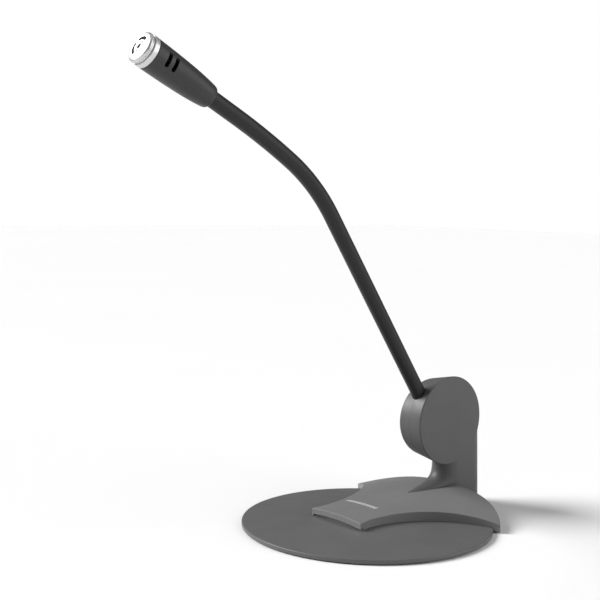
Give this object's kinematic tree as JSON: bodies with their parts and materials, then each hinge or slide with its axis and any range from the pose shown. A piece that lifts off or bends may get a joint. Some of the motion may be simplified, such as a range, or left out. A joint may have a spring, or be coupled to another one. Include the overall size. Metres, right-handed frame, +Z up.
{
  "type": "desktop microphone stand",
  "caption": "Desktop microphone stand: round weighted base with a saddle cover, a short drum-topped column, a flexible neck that holds its bend, and a slim head with a slotted metal cap.",
  "frame": {"origin": "middle of the round base, on the desk surface", "axes": "+Z up, -Y towards the speaker (front), +X to the right for someone who faces the front"},
  "size_m": [0.116, 0.2014, 0.2124],
  "materials": {
    "base_plastic": "fine satin moulded plastic",
    "saddle_plastic": "fine satin moulded plastic",
    "column_plastic": "smooth satin moulded plastic",
    "cover_plastic": "plain black plastic sheet",
    "pad_foam": "fine-pored foam rubber",
    "ballast_steel": "plain sheet steel",
    "screw_steel": "zinc-plated steel",
    "clamp_metal": "turned metal",
    "grommet_rubber": "smooth black rubber",
    "lead_pvc": "smooth black PVC",
    "core_steel": "wound spring steel",
    "sleeve_pvc": "satin soft PVC",
    "head_plastic": "satin moulded plastic",
    "cap_silver": "satin silver metal",
    "dust_foam": "fine black acoustic cloth",
    "capsule_metal": "plain aluminium can",
    "pin_brass": "tinned brass"
  },
  "bodies": {
    "root": {"base_shell": "base_plastic", "ballast_plate": "ballast_steel", "bottom_cover": "cover_plastic", "foot_pad": "pad_foam", "saddle_cover": "saddle_plastic", "saddle_screws": "screw_steel", "column_right": "column_plastic", "column_left": "column_plastic", "column_screws": "screw_steel", "foot_screws": "screw_steel", "neck_clamp": "clamp_metal", "cable_grommet": "grommet_rubber", "inner_lead": "lead_pvc", "core_0": "core_steel", "sleeve_0": "sleeve_pvc", "lead_0": "lead_pvc"},
    "link_1": {"core_1": "core_steel", "sleeve_1": "sleeve_pvc", "lead_1": "lead_pvc"},
    "link_2": {"core_2": "core_steel", "sleeve_2": "sleeve_pvc", "lead_2": "lead_pvc"},
    "link_3": {"core_3": "core_steel", "sleeve_3": "sleeve_pvc", "lead_3": "lead_pvc"},
    "link_4": {"core_4": "core_steel", "sleeve_4": "sleeve_pvc", "lead_4": "lead_pvc"},
    "link_5": {"core_5": "core_steel", "sleeve_5": "sleeve_pvc", "lead_5": "lead_pvc"},
    "head": {"core_6": "core_steel", "sleeve_6": "sleeve_pvc", "lead_6": "lead_pvc", "head_body": "head_plastic", "head_ferrule": "clamp_metal", "cap_ring": "cap_silver", "front_cap": "cap_silver", "dust_disc": "dust_foam", "capsule": "capsule_metal", "capsule_boot": "grommet_rubber", "capsule_pins": "pin_brass"}
  },
  "joints": [
    {"name": "neck_bend_low", "type": "hinge", "parent": "root", "child": "link_1", "pos_m": [0, 0.02327, 0.07254], "axis": [1, 0, 0], "range_deg": [-15, 15]},
    {"name": "neck_sway_low", "type": "hinge", "parent": "link_1", "child": "link_2", "pos_m": [0, 0.00691, 0.09608], "axis": [0, 0.8211, 0.5707], "range_deg": [-18, 18]},
    {"name": "neck_bend_mid", "type": "hinge", "parent": "link_2", "child": "link_3", "pos_m": [0, -0.00945, 0.11962], "axis": [1, 0, 0], "range_deg": [-15, 15]},
    {"name": "neck_bend_high", "type": "hinge", "parent": "link_3", "child": "link_4", "pos_m": [0, -0.02581, 0.14316], "axis": [1, 0, 0], "range_deg": [-20, 20]},
    {"name": "neck_sway_high", "type": "hinge", "parent": "link_4", "child": "link_5", "pos_m": [0, -0.05013, 0.1666], "axis": [0, 0.5402, 0.8415], "range_deg": [-18, 18]},
    {"name": "neck_bend_tip", "type": "hinge", "parent": "link_5", "child": "head", "pos_m": [0, -0.07961, 0.18352], "axis": [1, 0, 0], "range_deg": [-20, 20]}
  ],
  "couplings": [
    {"joint": "neck_bend_mid", "follows": "neck_bend_low", "ratio": 1},
    {"joint": "neck_sway_high", "follows": "neck_sway_low", "ratio": 1},
    {"joint": "neck_bend_tip", "follows": "neck_bend_high", "ratio": 1}
  ]
}
